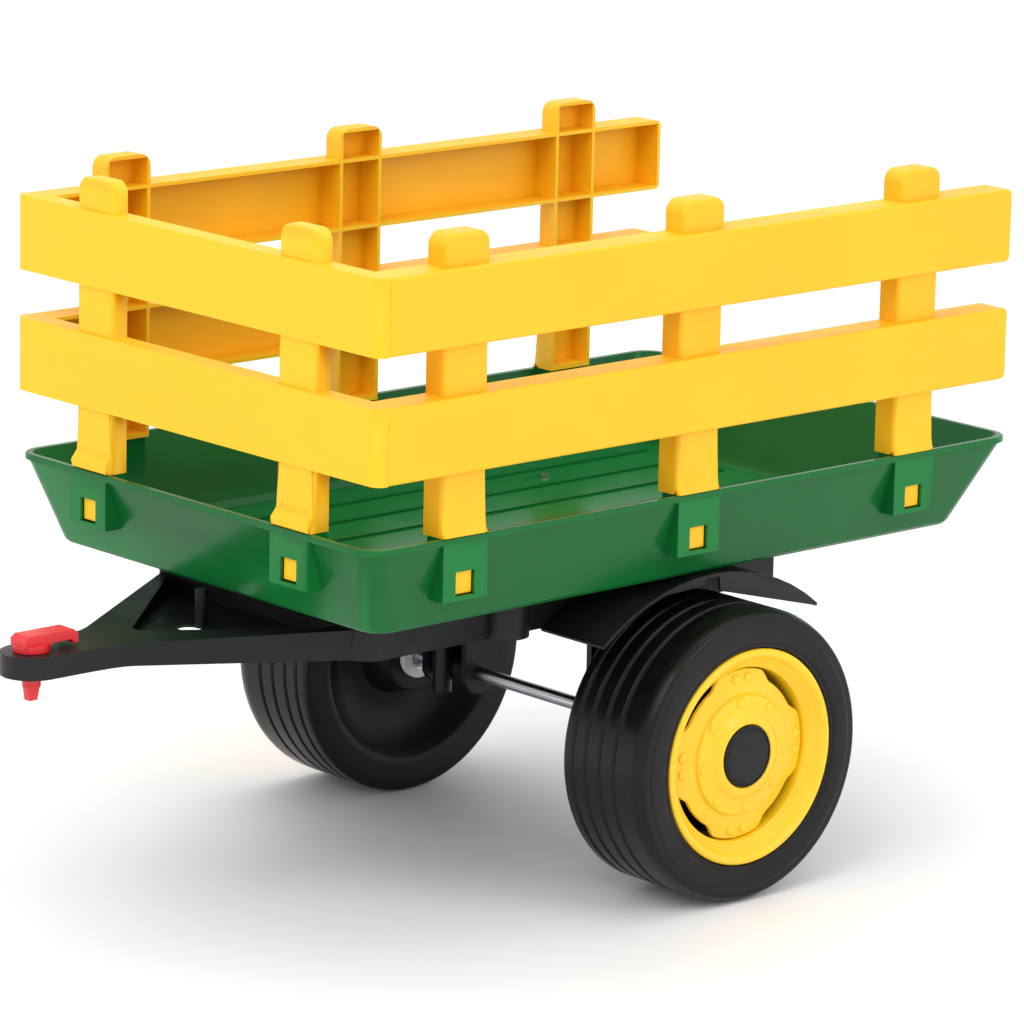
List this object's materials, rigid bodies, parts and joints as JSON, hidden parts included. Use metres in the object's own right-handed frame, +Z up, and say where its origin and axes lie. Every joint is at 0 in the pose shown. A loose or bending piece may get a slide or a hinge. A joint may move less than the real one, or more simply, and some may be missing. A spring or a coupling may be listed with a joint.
{
  "type": "toy farm trailer",
  "caption": "Child's ride-on toy farm trailer: open tub with slatted stake fences, drawbar with hitch pin, steel axle and moulded wheels.",
  "frame": {"origin": "on the ground, under the middle of the trailer's overall length and width", "axes": "+Z up, the hitch points along -Y, the trailer's left is +X"},
  "size_m": [0.522, 0.906, 0.59],
  "materials": {
    "tub": "glossy moulded green plastic",
    "fence": "satin moulded yellow plastic",
    "hub_disc": "glossy moulded yellow plastic",
    "black_plastic": "satin black plastic with fine grain",
    "tyre": "satin blow-moulded black plastic",
    "pin": "satin red plastic",
    "steel": "zinc plated",
    "bush": "white nylon"
  },
  "bodies": {
    "trailer": {"tub": "tub", "drawbar": "black_plastic", "axle_rod": "steel", "left_axle_bracket": "black_plastic", "left_fender": "black_plastic", "left_inner_push_nut": "steel", "left_washer": "steel", "left_outer_push_nut": "steel", "left_front_tub_screw": "steel", "left_rear_tub_screw": "steel", "left_inner_bracket_screw": "steel", "left_outer_bracket_screw": "steel", "left_front_fender_screw": "steel", "left_rear_fender_screw": "steel", "right_axle_bracket": "black_plastic", "right_fender": "black_plastic", "right_inner_push_nut": "steel", "right_washer": "steel", "right_outer_push_nut": "steel", "right_front_tub_screw": "steel", "right_rear_tub_screw": "steel", "right_inner_bracket_screw": "steel", "right_outer_bracket_screw": "steel", "right_front_fender_screw": "steel", "right_rear_fender_screw": "steel"},
    "left_wheel_body": {"left_wheel": "tyre", "left_hub_disc": "hub_disc", "left_hub_cap": "black_plastic", "left_inner_bush": "bush", "left_outer_bush": "bush"},
    "left_fence_body": {"left_fence": "fence"},
    "right_wheel_body": {"right_wheel": "tyre", "right_hub_disc": "hub_disc", "right_hub_cap": "black_plastic", "right_inner_bush": "bush", "right_outer_bush": "bush"},
    "right_fence_body": {"right_fence": "fence"},
    "front_fence_body": {"front_fence": "fence"},
    "hitch_pin_body": {"hitch_pin": "pin"}
  },
  "joints": [
    {"name": "left_wheel_spin", "type": "hinge", "parent": "trailer", "child": "left_wheel_body", "pos_m": [0.216, 0.1175, 0.1242], "axis": [1, 0, 0], "continuous": true},
    {"name": "right_wheel_spin", "type": "hinge", "parent": "trailer", "child": "right_wheel_body", "pos_m": [-0.216, 0.1175, 0.1242], "axis": [1, 0, 0], "continuous": true},
    {"name": "hitch_pin_lift", "type": "slide", "parent": "trailer", "child": "hitch_pin_body", "axis": [0, 0, 1], "range_m": [0, 0.055]},
    {"name": "left_fence_lift", "type": "slide", "parent": "trailer", "child": "left_fence_body", "axis": [0, 0, 1], "range_m": [0, 0.06]},
    {"name": "right_fence_lift", "type": "slide", "parent": "trailer", "child": "right_fence_body", "axis": [0, 0, 1], "range_m": [0, 0.06]},
    {"name": "front_fence_lift", "type": "slide", "parent": "trailer", "child": "front_fence_body", "axis": [0, 0, 1], "range_m": [0, 0.06]}
  ]
}
